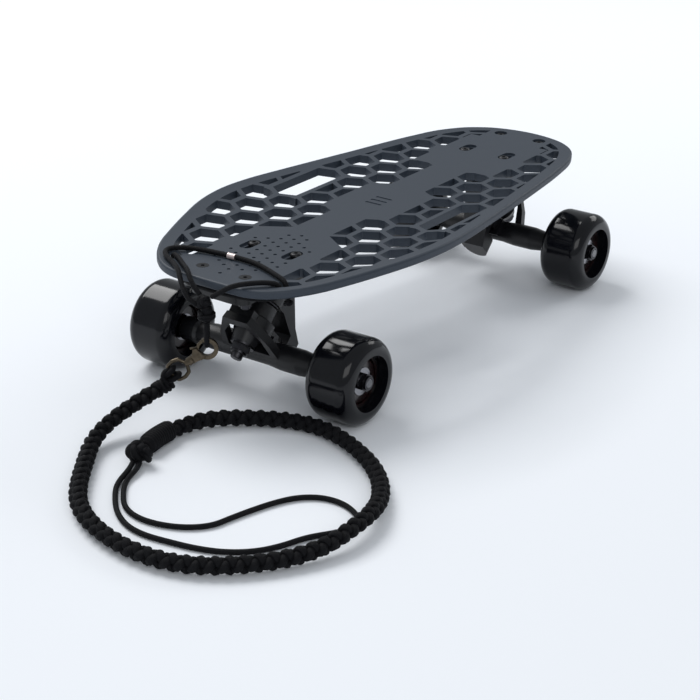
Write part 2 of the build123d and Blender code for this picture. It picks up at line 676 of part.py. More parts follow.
        with BuildPart() as tyre:
            with BuildSketch(axle_plane(out)):
                with BuildLine():
                    for face, inward in ((near, 1), (far, -1)):
                        lip = (hand * face, WHEEL_RADIUS - LIP_RADIUS)
                        crown = (hand * (face + inward * LIP_RADIUS), WHEEL_RADIUS)
                        bulge = LIP_RADIUS * (1 - sqrt(0.5))
                        ThreePointArc(lip, (hand * (face + inward * bulge), WHEEL_RADIUS - bulge), crown)
                        Polyline(
                            lip, (hand * face, RECESS_RADIUS),
                            (hand * (face + inward * RECESS_DEPTH), CORE_RADIUS + FIT),
                        )
                    for radius, step in ((WHEEL_RADIUS, LIP_RADIUS), (CORE_RADIUS + FIT, RECESS_DEPTH)):
                        Line((hand * (near + step), radius), (hand * (far - step), radius))
                make_face()
            revolve(axis=axle_axis)
        save(tyre, f"{wheel}_tyre")

        with BuildPart() as core:
            inset = 0.8
            hub = [
                (inner_bearing + inset, CORE_HUB), (inner_bearing + inset, BEARING_RADIUS + FIT),
                (inner_bearing + BEARING_WIDTH, BEARING_RADIUS + FIT), (inner_bearing + BEARING_WIDTH, 9.2),
                (outer_bearing, 9.2), (outer_bearing, BEARING_RADIUS + FIT),
                (bearing_end - inset, BEARING_RADIUS + FIT), (bearing_end - inset, CORE_HUB),
                (wheel_middle + 6, CORE_HUB), (wheel_middle + 5, 18.6), (far - 10, 18.9),
                (far - 10, CORE_RADIUS), (near + 10, CORE_RADIUS), (near + 10, 18.9),
                (wheel_middle - 5, 18.6), (wheel_middle - 6, CORE_HUB),
            ]
            revolve(section(axle_plane(out), [(hand * y, r) for y, r in hub]), axis=axle_axis)
        save(core, f"{wheel}_core")

        with BuildPart() as bearing_outers:
            for start in (inner_bearing, outer_bearing):
                middle = hand * (start + BEARING_WIDTH / 2)
                with BuildSketch(axle_plane(out)) as race:
                    with Locations((middle, 10.1)):
                        Rectangle(BEARING_WIDTH, 1.8)
                    with Locations((middle, BALL_PITCH)):
                        Circle(BALL_RADIUS + 0.045, mode=Mode.SUBTRACT)
                    with Locations((middle - 3.1, 8.0), (middle + 3.1, 8.0)):
                        Rectangle(0.5, 3.2)
                revolve(axis=axle_axis)
        save(bearing_outers, f"{wheel}_bearing_outers")


# ---------------------------------------------------------------- leash
def tube(points, diameter, name):
    """A cord: straight runs joined by arcs as large as the two runs at each corner allow."""
    spots = [Vector(*point) for point in points]
    runs = [b - a for a, b in zip(spots, spots[1:])]
    radii = []
    for before, after in zip(runs, runs[1:]):
        turn = radians(before.get_angle(after))
        radii.append(0.45 * min(before.length, after.length) / tan(turn / 2))
    with BuildPart() as cord:
        with BuildLine():
            path = FilletPolyline(*spots, radius=radii)
        with BuildSketch(Plane(origin=spots[0], z_dir=runs[0])):
            Circle(diameter / 2)
        sweep(path=path)
    whole = pi * diameter**2 / 4 * path.length
    smallest = sorted(radii)[:3] if radii else []
    print(name, f"length {path.length:.1f}", "smallest radii", [round(r, 1) for r in smallest],
          f"volume ratio {cord.part.volume / whole:.4f}", "runs", [round(run.length) for run in runs])
    return cord


# The snap hangs in a plane that faces back and to the right. Its own directions are across, along
# (from the claw to the swivel) and through.
SNAP_TILT = 38.8
through = Vector(0.82, 0.572, 0).normalized()
level = Vector(-0.572, 0.82, 0).normalized()
along = level * cos(radians(SNAP_TILT)) - Vector(0, 0, 1) * sin(radians(SNAP_TILT))
aside = through.cross(along)
claw = Vector(-249.5, -8.0, 63.1)
CLAW_RADIUS = 7.0             # to the middle of the claw's bar
CLAW_BAR = 1.6
SWIVEL_AT = 18.4
RING_AT = 26.5
DRING_HALF = 8.0
DRING_BAR = 1.5


def snap_point(s, t=0.0, n=0.0):
    """A point on the snap: along it from the claw's middle, aside, and through."""
    return claw + along * s + aside * t + through * n


def snap_plane(s=0.0, t=0.0, n=0.0):
    """The snap's own plane, with x along it and y aside."""
    return Plane(origin=snap_point(s, t, n), x_dir=along, z_dir=through)


GATE_FROM, GATE_TO = -60.0, 62.0     # the part of the claw's ring that the gate closes
PIVOT_ALONG, PIVOT_ASIDE = 7.2, 4.6

with BuildPart() as snap_hook:
    with BuildSketch(snap_plane(n=-CLAW_BAR)):
        Circle(CLAW_RADIUS + CLAW_BAR)
        Circle(CLAW_RADIUS - CLAW_BAR, mode=Mode.SUBTRACT)
        # the ring is open on one side, where the gate lies
        gap = [(-1.5, 0), (-1.5, 12), (6.0, 12), (6.0, 0)]
        add(section(Plane.XY, gap), mode=Mode.SUBTRACT)
    extrude(amount=2 * CLAW_BAR)
    body = section(snap_plane(n=-2.2), [
        (5.2, -5.0), (12.0, -3.2), (15.0, -3.0), (15.0, 3.0), (12.0, 3.2), (8.8, 6.4), (6.2, 5.2),
    ])
    extrude(body, amount=4.4)
    extrude(disc(Plane(origin=snap_point(14.0), z_dir=along), 3.4), amount=4.4)
    slot_cut = section(snap_plane(n=-0.95), [(4.0, 1.6), (11.0, 1.6), (11.0, 9.0), (4.0, 9.0)])
    extrude(slot_cut, amount=1.9, mode=Mode.SUBTRACT)
    pin_bore = disc(snap_plane(PIVOT_ALONG, PIVOT_ASIDE, -4), 0.75)
    extrude(pin_bore, amount=8, mode=Mode.SUBTRACT)
    extrude(disc(Plane(origin=snap_point(12.0), z_dir=along), 1.3), amount=10, mode=Mode.SUBTRACT)
save(snap_hook, "snap_hook")

with BuildPart() as gate_pin:
    extrude(disc(snap_plane(PIVOT_ALONG, PIVOT_ASIDE, -2.8), 0.7), amount=5.6)
    for start, height in ((2.25, 0.6), (-2.25, -0.6)):
        extrude(disc(snap_plane(PIVOT_ALONG, PIVOT_ASIDE, start), 1.3), amount=height)
save(gate_pin, "gate_pin")

with BuildPart() as snap_gate:
    extrude(disc(snap_plane(PIVOT_ALONG, PIVOT_ASIDE, -0.8), 1.7, 0.8), amount=1.6)
    tongue = section(snap_plane(n=-0.8), [
        (5.7, 5.6), (4.0, 7.4), (-0.9, 8.4), (-0.9, 6.2), (3.0, 5.4), (5.4, 3.6),
    ])
    extrude(tongue, amount=1.6)
    extrude(disc(snap_plane(PIVOT_ALONG, PIVOT_ASIDE, -4), 0.8), amount=8, mode=Mode.SUBTRACT)
    thumb = section(snap_plane(n=-0.8), [(8.2, 5.9), (10.6, 7.4), (10.0, 8.6), (7.6, 7.0), (6.9, 6.5)])
    extrude(thumb, amount=1.6)
save(snap_gate, "snap_gate")

with BuildPart() as swivel_ring:
    extrude(disc(Plane(origin=snap_point(13.0), z_dir=along), 1.2), amount=8.0)
    extrude(disc(Plane(origin=snap_point(18.7), z_dir=along), 2.6), amount=2.2)
    corners = [
        (20.5, -1.0), (23.2, -DRING_HALF + 1.5), (28.0, -DRING_HALF), (33.0, -DRING_HALF + 1.0),
        (34.6, -DRING_HALF + 3.4), (34.6, DRING_HALF - 3.4), (33.0, DRING_HALF - 1.0),
        (28.0, DRING_HALF), (23.2, DRING_HALF - 1.5), (20.5, 1.0),
    ]
    with BuildLine() as ring_line:
        FilletPolyline(*[snap_point(s, t) for s, t in corners], radius=2.0)
    with BuildSketch(Plane(origin=ring_line.line @ 0, z_dir=ring_line.line % 0)):
        Circle(DRING_BAR)
    sweep()
save(swivel_ring, "swivel_ring")

# the loop that carries the snap passes round the top of the claw
LOOP_HALF = 4.5
loop_top = 86.5
bar_top = claw.Z + CLAW_RADIUS
loop_down, loop_up = claw + through * LOOP_HALF, claw - through * LOOP_HALF
loop_points = [
    (loop_down.X, loop_down.Y, loop_top), (loop_down.X, loop_down.Y, bar_top - LOOP_HALF),
    (loop_up.X, loop_up.Y, bar_top - LOOP_HALF), (loop_up.X, loop_up.Y, loop_top),
]
save(tube(loop_points, CORD, "snap_loop"), "snap_loop")

knot = Vector(-250.0, -6.0, 100.5)
with BuildPart() as lashing_knot:
    collar_plane = Plane.XY.offset(loop_top).shift_origin((claw.X, claw.Y, loop_top))
    extrude(disc(collar_plane, 7.0), amount=6.5)
    fillet(lashing_knot.edges().filter_by(GeomType.CIRCLE), 1.5)
    with Locations(knot):
        Sphere(KNOT_RADIUS)
    with Locations(knot + Vector(0.5, 3.0, -3.5)):
        Sphere(KNOT_RADIUS - 1.2)
    with Locations((claw.X, claw.Y, loop_top + 8.0)):
        Sphere(4.6)
save(lashing_knot, "lashing_knot")

REAR_BAND = [
    (-249.0, -2.5, 104.0), (-249.5, 3.0, 109.0), (-247.5, 9.5, 115.0), (-242.0, 16.0, 118.6),
    (-232.0, 29.0, 117.0), (-223.0, 41.0, 116.9), (-215.3, 53.0, 115.8), (-214.6, 54.3, 106.0),
    (-220.5, 46.5, 103.8), (-229.5, 34.0, 104.4), (-234.8, 20.0, 104.4), (-235.8, 2.0, 104.3),
    (-235.2, -17.0, 104.4), (-232.0, -33.0, 104.4), (-225.5, -44.0, 103.8), (-217.8, -52.4, 105.5),
    (-217.5, -52.8, 115.6), (-224.5, -44.5, 117.5), (-235.0, -34.5, 117.3), (-246.0, -29.5, 117.5),
    (-249.2, -21.5, 112.0), (-249.6, -12.5, 105.5),
]
TOP_BAND = [
    (-252.5, -2.0, 97.5), (-254.5, 4.0, 100.5), (-253.5, 10.5, 106.0), (-249.5, 17.0, 112.5),
    (-243.5, 24.0, 117.5), (-233.0, 38.0, 117.0), (-224.0, 55.0, 117.3), (-213.0, 60.5, 117.4),
    (-203.4, 51.5, 117.2), (-198.0, 37.5, 116.7), (-195.6, 20.0, 116.6), (-194.8, 2.5, 116.6),
    (-196.0, -13.0, 116.6), (-201.0, -27.5, 116.7), (-206.5, -40.0, 116.9), (-211.0, -52.5, 116.2),
    (-211.8, -55.3, 107.0), (-211.4, -55.6, 101.5),
]
save(tube(REAR_BAND, CORD, "rear_band"), "rear_band")
with BuildPart() as top_band:
    add(tube(TOP_BAND, CORD, "top_band").part)
    with Locations((-211.4, -55.6, 99.5)):
        Sphere(4.0)
save(top_band, "top_band")
with BuildPart() as cord_crimp:
    crimp_at = Vector(-195.2, 11.0, 116.6)
    crimp_plane = Plane(origin=crimp_at, z_dir=(-0.05, 1, 0))
    extrude(disc(crimp_plane, CORD / 2 + 0.35, CORD / 2 + 0.05), amount=3.5, both=True)
save(cord_crimp, "cord_crimp")

# the braid: from the head on the ring, down to the floor and round in a loop to the whipping
BRAID_Z = 7.2
BRAID_ROUTE = [
    (-269.0, 20.0, 31.0), (-280.0, 25.5, 26.0), (-297.0, 31.0, 20.0), (-316.0, 34.0, 14.0),
    (-334.0, 31.5, 9.5), (-350.0, 23.0, BRAID_Z), (-368.0, 10.5, BRAID_Z), (-391.0, -5.5, BRAID_Z),
    (-413.0, -25.0, BRAID_Z), (-428.5, -50.0, BRAID_Z), (-437.5, -79.0, BRAID_Z),
    (-440.5, -107.0, BRAID_Z), (-436.5, -132.0, BRAID_Z), (-425.0, -154.0, BRAID_Z),
    (-407.0, -173.5, BRAID_Z), (-385.0, -190.0, BRAID_Z), (-362.0, -200.5, 9.0),
    (-340.0, -204.5, 12.6), (-311.0, -202.5, 12.6), (-286.0, -193.0, 9.0), (-263.0, -178.0, BRAID_Z),
    (-244.0, -158.5, BRAID_Z), (-229.5, -135.5, BRAID_Z), (-218.8, -111.0, BRAID_Z),
    (-214.0, -86.0, BRAID_Z), (-219.0, -61.5, BRAID_Z), (-232.0, -38.0, BRAID_Z),
    (-247.5, -17.5, BRAID_Z), (-265.0, -6.0, BRAID_Z), (-284.0, -3.2, BRAID_Z),
]
save(tube(BRAID_ROUTE, BRAID, "braid"), "braid")

head_line = (Vector(*BRAID_ROUTE[1]) - Vector(*BRAID_ROUTE[0])).normalized()
bar = snap_point(34.6)
HEAD_LENGTH = 6.6
with BuildPart() as braid_head:
    # a short thick end, and the turn of cord that goes round the ring's bar
    extrude(disc(Plane(origin=BRAID_ROUTE[0], z_dir=head_line), BRAID / 2), amount=-HEAD_LENGTH)
    with Locations(Vector(*BRAID_ROUTE[0]) - head_line * HEAD_LENGTH):
        Sphere(BRAID / 2 - 0.4)
    with Locations(Plane(origin=bar, z_dir=aside)):
        Torus(DRING_BAR + 2.9, 2.7)
save(braid_head, "braid_head")

tail_line = (Vector(*BRAID_ROUTE[-1]) - Vector(*BRAID_ROUTE[-2])).normalized()
whip_start = Vector(*BRAID_ROUTE[-1]) + Vector(0, 0, WHIP / 2 + 0.1 - BRAID_Z)
WHIP_ROUTE = [whip_start, whip_start + tail_line * 17.0, (-320.5, -6.6, whip_start.Z)]
save(tube(WHIP_ROUTE, WHIP, "whipping"), "whipping")

whip_line = (Vector(*WHIP_ROUTE[2]) - WHIP_ROUTE[1]).normalized()
exit_line = Vector(-0.85, -0.527, 0).normalized()
knot_middle = Vector(-332.5, -9.6, 9.8)
exit_middle = knot_middle + exit_line * 6.5
with BuildPart() as end_knot:
    with Locations(knot_middle):
        Sphere(9.7)
    with Locations(knot_middle + Vector(2.0, -6.0, -1.3)):
        Sphere(8.2)
    with Locations(knot_middle + Vector(3.0, 5.5, 1.0)):
        Sphere(7.4)
    split(bisect_by=Plane(origin=WHIP_ROUTE[2], z_dir=whip_line), keep=Keep.TOP)
    split(bisect_by=Plane(origin=exit_middle, z_dir=exit_line), keep=Keep.BOTTOM)
save(end_knot, "end_knot")

# the wrist loop: out of the knot, round under the braid and back into the knot
THIN_Z = 2.1
exit_low = Vector(exit_middle.X, exit_middle.Y, 4.6)
exit_side = Vector(-exit_line.Y, exit_line.X, 0)
inner_start = exit_low + exit_side * 2.6
outer_start = exit_low - exit_side * 2.6
WRIST_ROUTE = [
    inner_start, inner_start + exit_line * 9.0, (-360.5, -22.5, THIN_Z), (-378.0, -35.5, THIN_Z),
    (-391.5, -49.0, THIN_Z), (-397.5, -66.0, THIN_Z), (-396.0, -84.0, THIN_Z),
    (-388.5, -101.5, THIN_Z), (-375.5, -114.5, THIN_Z), (-358.5, -118.0, THIN_Z),
    (-341.0, -122.5, THIN_Z), (-323.5, -128.0, THIN_Z), (-307.5, -136.0, THIN_Z),
    (-297.0, -149.0, THIN_Z), (-294.5, -164.0, THIN_Z), (-298.5, -178.5, THIN_Z),
    (-308.0, -191.0, THIN_Z), (-322.0, -194.0, THIN_Z), (-334.0, -186.5, THIN_Z),
    (-350.0, -175.5, THIN_Z), (-369.0, -169.5, THIN_Z), (-385.5, -160.0, THIN_Z),
    (-398.5, -144.5, THIN_Z), (-406.0, -125.5, THIN_Z), (-410.0, -105.5, THIN_Z),
    (-413.0, -86.0, THIN_Z), (-410.5, -68.0, THIN_Z), (-400.5, -50.0, THIN_Z),
    (-386.0, -35.0, THIN_Z), (-369.0, -21.0, THIN_Z), outer_start + exit_line * 9.0, outer_start,
]
save(tube(WRIST_ROUTE, CORD, "wrist_loop"), "wrist_loop")
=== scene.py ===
# %% [markdown]
# # A street skateboard with a plaited tether, dressed for its photograph
#
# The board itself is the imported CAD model. This lesson adds what CAD can't show well: the plaited
# tether, the cord bands, the knots, the surface of each material, the light and the camera.
# Every length is in metres. X points to the nose, Y to the left, Z up, and the floor is at Z = 0.

# %%
import json
import math

import bpy
import numpy as np
from mathutils import Matrix, Vector


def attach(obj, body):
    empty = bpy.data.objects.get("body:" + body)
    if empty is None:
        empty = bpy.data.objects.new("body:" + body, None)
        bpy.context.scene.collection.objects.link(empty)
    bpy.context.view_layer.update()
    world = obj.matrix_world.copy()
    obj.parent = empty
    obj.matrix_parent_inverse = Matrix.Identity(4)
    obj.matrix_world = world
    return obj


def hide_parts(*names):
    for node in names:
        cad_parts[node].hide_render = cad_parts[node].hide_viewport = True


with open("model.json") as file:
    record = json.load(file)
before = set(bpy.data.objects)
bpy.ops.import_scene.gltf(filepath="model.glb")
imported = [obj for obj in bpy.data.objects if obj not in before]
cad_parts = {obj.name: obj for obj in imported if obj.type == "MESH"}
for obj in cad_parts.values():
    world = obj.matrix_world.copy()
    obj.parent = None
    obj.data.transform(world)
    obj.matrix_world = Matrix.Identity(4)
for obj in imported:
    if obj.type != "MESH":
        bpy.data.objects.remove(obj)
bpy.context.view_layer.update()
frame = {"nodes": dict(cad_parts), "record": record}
nodes = frame["nodes"]
print("pieces in the frame:", len(nodes))

# %% [markdown]
# ## Where the cords run
#
# Each cord follows a few points that were read from the photo. They are the points of the CAD
# sweeps, so the dressed cord lies on the CAD one. A NURBS spline of order 3 rounds the corners
# between them, and the strands below are wound about the line that Blender makes of it.

# %% The routes
BRAID_ROUTE = [
    (-0.2690, 0.0200, 0.0310), (-0.2800, 0.0255, 0.0260), (-0.2970, 0.0310, 0.0200),
    (-0.3160, 0.0340, 0.0140), (-0.3340, 0.0315, 0.0095), (-0.3500, 0.0230, 0.0072),
    (-0.3680, 0.0105, 0.0072), (-0.3910, -0.0055, 0.0072), (-0.4130, -0.0250, 0.0072),
    (-0.4285, -0.0500, 0.0072), (-0.4375, -0.0790, 0.0072), (-0.4405, -0.1070, 0.0072),
    (-0.4365, -0.1320, 0.0072), (-0.4250, -0.1540, 0.0072), (-0.4070, -0.1735, 0.0072),
    (-0.3850, -0.1900, 0.0072), (-0.3620, -0.2005, 0.0090), (-0.3400, -0.2045, 0.0126),
    (-0.3110, -0.2025, 0.0126), (-0.2860, -0.1930, 0.0090), (-0.2630, -0.1780, 0.0072),
    (-0.2440, -0.1585, 0.0072), (-0.2295, -0.1355, 0.0072), (-0.2188, -0.1110, 0.0072),
    (-0.2140, -0.0860, 0.0072), (-0.2190, -0.0615, 0.0072), (-0.2320, -0.0380, 0.0072),
    (-0.2475, -0.0175, 0.0072), (-0.2650, -0.0060, 0.0072), (-0.2840, -0.0032, 0.0072),
]
REAR_BAND = [
    (-0.2490, -0.0025, 0.1040), (-0.2495, 0.0030, 0.1090), (-0.2475, 0.0095, 0.1150),
    (-0.2420, 0.0160, 0.1186), (-0.2320, 0.0290, 0.1170), (-0.2230, 0.0410, 0.1169),
    (-0.2153, 0.0530, 0.1158), (-0.2146, 0.0543, 0.1060), (-0.2205, 0.0465, 0.1038),
    (-0.2295, 0.0340, 0.1044), (-0.2348, 0.0200, 0.1044), (-0.2358, 0.0020, 0.1043),
    (-0.2352, -0.0170, 0.1044), (-0.2320, -0.0330, 0.1044), (-0.2255, -0.0440, 0.1038),
    (-0.2178, -0.0524, 0.1055), (-0.2175, -0.0528, 0.1156), (-0.2245, -0.0445, 0.1175),
    (-0.2350, -0.0345, 0.1173), (-0.2460, -0.0295, 0.1175), (-0.2492, -0.0215, 0.1120),
    (-0.2496, -0.0125, 0.1055),
]
TOP_BAND = [
    (-0.2525, -0.0020, 0.0975), (-0.2545, 0.0040, 0.1005), (-0.2535, 0.0105, 0.1060),
    (-0.2495, 0.0170, 0.1125), (-0.2435, 0.0240, 0.1175), (-0.2330, 0.0380, 0.1170),
    (-0.2240, 0.0550, 0.1173), (-0.2130, 0.0605, 0.1174), (-0.2034, 0.0515, 0.1172),
    (-0.1980, 0.0375, 0.1167), (-0.1956, 0.0200, 0.1166), (-0.1948, 0.0025, 0.1166),
    (-0.1960, -0.0130, 0.1166), (-0.2010, -0.0275, 0.1167), (-0.2065, -0.0400, 0.1169),
    (-0.2110, -0.0525, 0.1162), (-0.2118, -0.0553, 0.1070), (-0.2114, -0.0556, 0.1015),
]
WRIST_ROUTE = [
    (-0.3367, -0.0152, 0.0046), (-0.3443, -0.0200, 0.0046), (-0.3605, -0.0225, 0.0021),
    (-0.3780, -0.0355, 0.0021), (-0.3915, -0.0490, 0.0021), (-0.3975, -0.0660, 0.0021),
    (-0.3960, -0.0840, 0.0021), (-0.3885, -0.1015, 0.0021), (-0.3755, -0.1145, 0.0021),
    (-0.3585, -0.1180, 0.0021), (-0.3410, -0.1225, 0.0021), (-0.3235, -0.1280, 0.0021),
    (-0.3075, -0.1360, 0.0021), (-0.2970, -0.1490, 0.0021), (-0.2945, -0.1640, 0.0021),
    (-0.2985, -0.1785, 0.0021), (-0.3080, -0.1910, 0.0021), (-0.3220, -0.1940, 0.0021),
    (-0.3340, -0.1865, 0.0021), (-0.3500, -0.1755, 0.0021), (-0.3690, -0.1695, 0.0021),
    (-0.3855, -0.1600, 0.0021), (-0.3985, -0.1445, 0.0021), (-0.4060, -0.1255, 0.0021),
    (-0.4100, -0.1055, 0.0021), (-0.4130, -0.0860, 0.0021), (-0.4105, -0.0680, 0.0021),
    (-0.4005, -0.0500, 0.0021), (-0.3860, -0.0350, 0.0021), (-0.3690, -0.0210, 0.0021),
    (-0.3470, -0.0156, 0.0046), (-0.3394, -0.0108, 0.0046),
]
WHIP_ROUTE = [
    (-0.2840, -0.0032, 0.0082), (-0.3008, -0.0007, 0.0082), (-0.3205, -0.0066, 0.0082),
]
SNAP_LOOP = [
    (-0.2458, -0.0054, 0.0865), (-0.2458, -0.0054, 0.0656), (-0.2532, -0.0106, 0.0656),
    (-0.2532, -0.0106, 0.0865),
]
print("tether points:", len(BRAID_ROUTE), " wrist loop points:", len(WRIST_ROUTE))

# %% [markdown]
# A route becomes a line of points by asking Blender for the spline's own mesh. The line is then
# cut into even steps, so that a pattern along it keeps one pitch.

# %% From a route to an even line
def spline_line(name, route):
    """Points of a quadratic B-spline: P(t) = sum of N_i,2(t) * route_i."""
    data = bpy.data.curves.new(name, "CURVE")
    data.dimensions = "3D"
    spline = data.splines.new("NURBS")
    spline.points.add(len(route) - 1)
    spline.points.foreach_set("co", [v for p in route for v in (*p, 1.0)])
    spline.order_u = 3
    spline.use_endpoint_u = True
    spline.resolution_u = 16
    holder = bpy.data.objects.new(name, data)
    bpy.context.collection.objects.link(holder)
    mesh = bpy.data.meshes.new_from_object(holder)
    flat = np.empty(len(mesh.vertices) * 3)
    mesh.vertices.foreach_get("co", flat)
    line = flat.reshape(-1, 3)
    bpy.data.objects.remove(holder)
    bpy.data.curves.remove(data)
    bpy.data.meshes.remove(mesh)
    return line


def lengths_along(line):
    """s_k = sum of |P_i - P_(i-1)| for i up to k."""
    return np.concatenate([[0.0], np.cumsum(np.linalg.norm(np.diff(line, axis=0), axis=1))])


def even(line, step):
    """The same line with its points one step apart, P(s) at s = k * step."""
    s = lengths_along(line)
    spots = np.linspace(0.0, s[-1], max(4, int(round(s[-1] / step)) + 1))
    return np.stack([np.interp(spots, s, line[:, k]) for k in range(3)], axis=1)


def softened(line, passes):
    """Each inner point moves to (P_(i-1) + 2 P_i + P_(i+1)) / 4, which rounds the chord joints."""
    for _ in range(passes):
        line = np.vstack([line[:1], (line[:-2] + 2 * line[1:-1] + line[2:]) / 4, line[-1:]])
    return line

braid_line = even(spline_line("tether line", BRAID_ROUTE), 0.0010)
print("tether length, mm:", round(lengths_along(braid_line)[-1] * 1000, 1))

# %% [markdown]
# ## A tube about a line
#
# Every cord is a tube: a circle carried along a line. The circle needs two directions across the
# line at each point. They are carried from one point to the next without twisting, so a pattern
# drawn round the tube doesn't wander. The tube writes its own map: how far along in metres, and
# how far round, so that the woven sheath keeps its size on every cord.

# %% The tube
def tangents(line):
    """T_k = the unit vector of P_(k+1) - P_(k-1)."""
    t = np.gradient(line, axis=0)
    return t / np.linalg.norm(t, axis=1, keepdims=True)


def carried_frame(line):
    """N_k = N_(k-1) - (N_(k-1) . T_k) T_k, made a unit vector again; B_k = T_k x N_k."""
    t = tangents(line)
    first = np.cross(t[0], (0.0, 0.0, 1.0))
    if np.linalg.norm(first) < 0.1:
        first = np.cross(t[0], (0.0, 1.0, 0.0))
    n = np.empty_like(t)
    n[0] = first / np.linalg.norm(first)
    for k in range(1, len(t)):
        side = n[k - 1] - np.dot(n[k - 1], t[k]) * t[k]
        n[k] = side / np.linalg.norm(side)
    return t, n, np.cross(t, n)


def mesh_piece(name, parts, looks, body="board"):
    """One object from closed tubes. Each part is a surface S(i, j) on a grid, its lengths s_i and
    its girth g, and its map is (s_i, g j / columns)."""
    corners, faces, maps = [], [], []
    first = 0
    for surface, along, girth in parts:
        rows, columns = surface.shape[:2]
        i, j = np.meshgrid(np.arange(rows - 1), np.arange(columns), indexing="ij")
        row = np.stack([i, i, i + 1, i + 1], axis=-1).reshape(-1, 4)
        column = np.stack([j, j + 1, j + 1, j], axis=-1).reshape(-1, 4)
        faces.append(first + row * columns + column % columns)
        maps.append(np.stack([along[row], column / columns * girth], axis=-1).reshape(-1, 2))
        corners.append(surface.reshape(-1, 3))
        first += rows * columns
    data = bpy.data.meshes.new(name)
    data.from_pydata(np.vstack(corners), [], np.vstack(faces))
    layer = data.uv_layers.new(name="cord_map")
    layer.data.foreach_set("uv", np.vstack(maps).astype(np.float32).ravel())
    data.polygons.foreach_set("use_smooth", [True] * len(data.polygons))
    data.materials.append(looks)
    piece = bpy.data.objects.new(name, data)
    bpy.context.collection.objects.link(piece)
    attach(piece, body)
    return piece


END_LEAST = 0.0004       # the tip never shrinks to a point, which would spoil its normals


def rounded(x, least):
    """sqrt(1 - (1 - x)^2) for x from 0 to 1, and no less than sqrt(least)."""
    return np.sqrt(np.clip(1 - (1 - np.clip(x, 0, 1)) ** 2, least, 1))


def tube_part(line, radius, sides=12, ends=True, ridge=0.0, pitch=0.001):
    """S(s, a) = P(s) + r(s) (cos a N(s) + sin a B(s)), r(s) = radius + ridge |sin(pi s / pitch)|.
    At an end, r falls as sqrt(1 - x^2) over one radius, which rounds it off."""
    s = lengths_along(line)
    _, n, b = carried_frame(line)
    r = radius + ridge * np.abs(np.sin(np.pi * s / pitch))
    if ends:
        reach = np.minimum(s, s[-1] - s) / radius
        r = r * rounded(reach, END_LEAST)
    a = np.linspace(0, 2 * np.pi, sides, endpoint=False)
    ring = np.cos(a)[None, :, None] * n[:, None, :] + np.sin(a)[None, :, None] * b[:, None, :]
    return line[:, None, :] + r[:, None, None] * ring, s, 2 * np.pi * radius

# %% [markdown]
# ## Surfaces
#
# A small helper makes shader nodes in one line each. Effects that several materials share are node
# groups: a fine grain, soft handling wear, and the woven sheath of the cords. A group gives back
# only a value, a colour or a normal, and each material keeps its own shader.

# %% Small helpers for shader nodes
def node_of(tree, kind, inputs=(), **settings):
    """Adds a node, sets its properties, and fills its sockets with values or with other sockets."""
    made = tree.nodes.new(kind)
    for key, value in settings.items():
        setattr(made, key, value)
    for key, value in dict(inputs).items():
        if isinstance(value, bpy.types.NodeSocket):
            tree.links.new(value, made.inputs[key])
        else:
            made.inputs[key].default_value = value
    return made


def new_group(name, inputs, outputs):
    """An empty node group with its sockets: (name, type, default) in, (name, type) out."""
    tree = bpy.data.node_groups.new(name, "ShaderNodeTree")
    for label, kind, default in inputs:
        socket = tree.interface.new_socket(label, in_out="INPUT", socket_type="NodeSocket" + kind)
        if default is not None:
            socket.default_value = default
    for label, kind in outputs:
        tree.interface.new_socket(label, in_out="OUTPUT", socket_type="NodeSocket" + kind)
    return tree, tree.nodes.new("NodeGroupInput").outputs, tree.nodes.new("NodeGroupOutput").inputs


def maths(tree, operation, a, b=0.0):
    """One arithmetic step, a (operation) b."""
    return node_of(tree, "ShaderNodeMath", {0: a, 1: b}, operation=operation).outputs[0]


def ramped(tree, value, low, high, to_low=0.0, to_high=1.0):
    """A smooth step: to_low below low, to_high above high."""
    made = node_of(tree, "ShaderNodeMapRange", {0: value, 1: low, 2: high, 3: to_low, 4: to_high})
    made.interpolation_type = "SMOOTHSTEP"
    return made.outputs[0]


def mixed(tree, factor, a, b, blend="MIX"):
    """Colour a blended with colour b by a factor."""
    made = tree.nodes.new("ShaderNodeMix")
    made.data_type, made.blend_type = "RGBA", blend
    for socket, value in ((made.inputs[0], factor), (made.inputs[6], a), (made.inputs[7], b)):
        if isinstance(value, bpy.types.NodeSocket):
            tree.links.new(value, socket)
        else:
            socket.default_value = value
    return made.outputs[2]

# %% [markdown]
# Grain is two sizes of noise added together. It is the moulded texture of the deck, the pores of
# powder coat and the satin of urethane, at a different size and depth each time.

# %% Grain: a normal and a value
grain, ins, outs = new_group(
    "grain", [("Place", "Vector", None), ("Size", "Float", 900.0), ("Depth", "Float", 0.0001)],
    [("Normal", "Vector"), ("Value", "Float")],
)
COARSE_SHARE = 0.65
coarse = node_of(grain, "ShaderNodeTexNoise",
                 {"Vector": ins["Place"], "Scale": ins["Size"], "Detail": 3.0})
fine_size = maths(grain, "MULTIPLY", ins["Size"], 3.1)
fine = node_of(grain, "ShaderNodeTexNoise",
               {"Vector": ins["Place"], "Scale": fine_size, "Detail": 2.0})
coarse_part = maths(grain, "MULTIPLY", coarse.outputs[0], COARSE_SHARE)
fine_part = maths(grain, "MULTIPLY", fine.outputs[0], 1 - COARSE_SHARE)
both = maths(grain, "ADD", coarse_part, fine_part)
bump = node_of(grain, "ShaderNodeBump", {"Strength": 1.0, "Distance": ins["Depth"], "Height": both})
grain.links.new(bump.outputs[0], outs["Normal"])
grain.links.new(both, outs["Value"])
print("group:", grain.name)

# %% [markdown]
# Wear is where hands, shoes and the floor have rubbed. It is broad soft cloud, broken up by a finer
# cloud and by a few long scratches.

